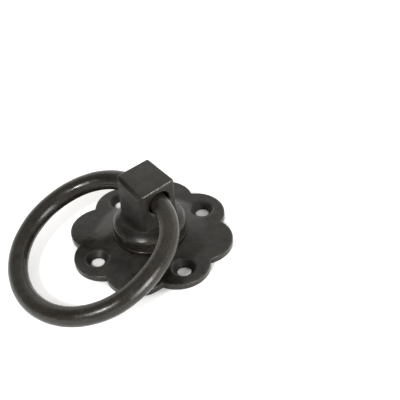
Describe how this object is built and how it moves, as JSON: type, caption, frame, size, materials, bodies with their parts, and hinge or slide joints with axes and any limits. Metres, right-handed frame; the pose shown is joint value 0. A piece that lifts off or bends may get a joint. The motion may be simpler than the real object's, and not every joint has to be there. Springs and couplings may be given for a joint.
{
  "type": "ring gate latch handle",
  "caption": "Black iron ring handle for a gate latch: a ring swings in a squared boss that turns on a scalloped, screw-fixed rose and drives a square spindle.",
  "frame": {"origin": "centre of the rose's flat back face, on the spindle axis", "axes": "+Z out of the gate along the spindle; the ring hinges about X and lies towards -Y with its far side on the back plane"},
  "size_m": [0.078, 0.1073, 0.0354],
  "materials": {
    "rose_iron": "black waxed, satin",
    "boss_iron": "black waxed, satin",
    "ring_iron": "black waxed, satin",
    "fittings_steel": "oiled spring steel"
  },
  "bodies": {
    "rose": {"rose_plate": "rose_iron", "thrust_washer": "fittings_steel"},
    "boss": {"turning_boss": "boss_iron", "retaining_clip": "fittings_steel"},
    "ring": {"ring_handle": "ring_iron"}
  },
  "joints": [
    {"name": "boss_turn", "type": "hinge", "parent": "rose", "child": "boss", "pos_m": [0, 0, 0], "axis": [0, 0, 1], "continuous": true},
    {"name": "ring_swing", "type": "hinge", "parent": "boss", "child": "ring", "pos_m": [0, 0, 0.02747], "axis": [-1, 0, 0], "range_deg": [0, 218]}
  ]
}
